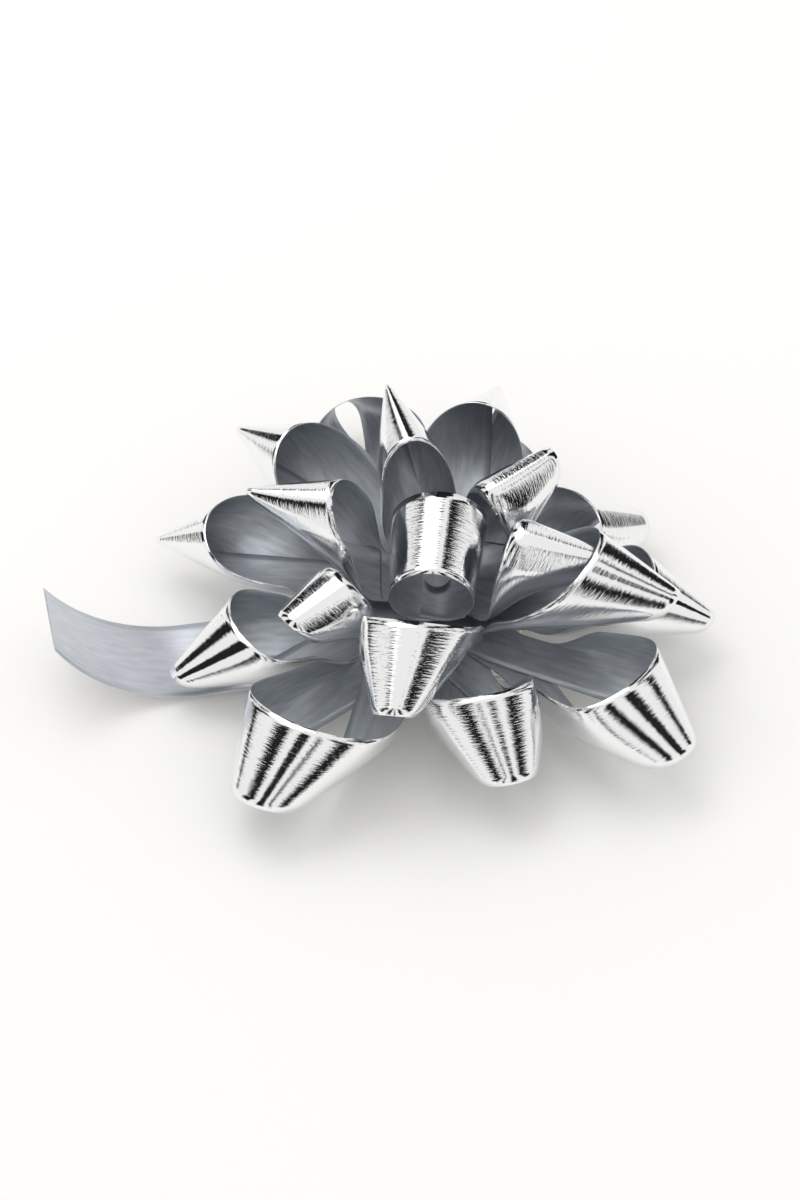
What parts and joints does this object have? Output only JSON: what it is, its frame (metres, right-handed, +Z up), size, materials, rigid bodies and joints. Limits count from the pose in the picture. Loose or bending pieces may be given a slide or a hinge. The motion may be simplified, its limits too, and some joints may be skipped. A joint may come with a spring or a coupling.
{
  "type": "gift bow",
  "caption": "Pre-made star bow: a metallised ribbon wound into cone-shaped loops on a barbed post, with a disc, an adhesive pad with a peel-off liner, and one free tail.",
  "frame": {"origin": "on the post's axis, at the underside of the release liner, where the bow rests", "axes": "+Z up along the post; +X to the right and +Y to the back as the bow is seen from its front, with the free tail pointing to -X"},
  "size_m": [0.125, 0.1117, 0.034],
  "materials": {
    "silver_film": "bright silver metallised film with fine creases outside and a dull grey inside",
    "base_plastic": "moulded, satin",
    "pad_foam": "closed-cell foam, sticky underneath",
    "liner_paper": "siliconised release paper"
  },
  "bodies": {
    "bow": {"ribbon_tail": "silver_film", "bottom_loop_1": "silver_film", "bottom_loop_2": "silver_film", "bottom_loop_3": "silver_film", "bottom_loop_4": "silver_film", "bottom_loop_5": "silver_film", "bottom_loop_6": "silver_film", "bottom_loop_7": "silver_film", "bottom_loop_8": "silver_film", "bottom_loop_9": "silver_film", "middle_loop_1": "silver_film", "middle_loop_2": "silver_film", "middle_loop_3": "silver_film", "middle_loop_4": "silver_film", "middle_loop_5": "silver_film", "upper_loop_1": "silver_film", "upper_loop_2": "silver_film", "upper_loop_3": "silver_film", "upper_loop_4": "silver_film", "centre_loop": "silver_film", "base_post": "base_plastic", "adhesive_pad": "pad_foam"},
    "liner": {"release_liner": "liner_paper"}
  },
  "joints": [
    {"name": "liner_peel", "type": "hinge", "parent": "bow", "child": "liner", "pos_m": [-0.0125, 0, 0.00025], "axis": [0, 1, 0], "range_deg": [0, 100]}
  ]
}
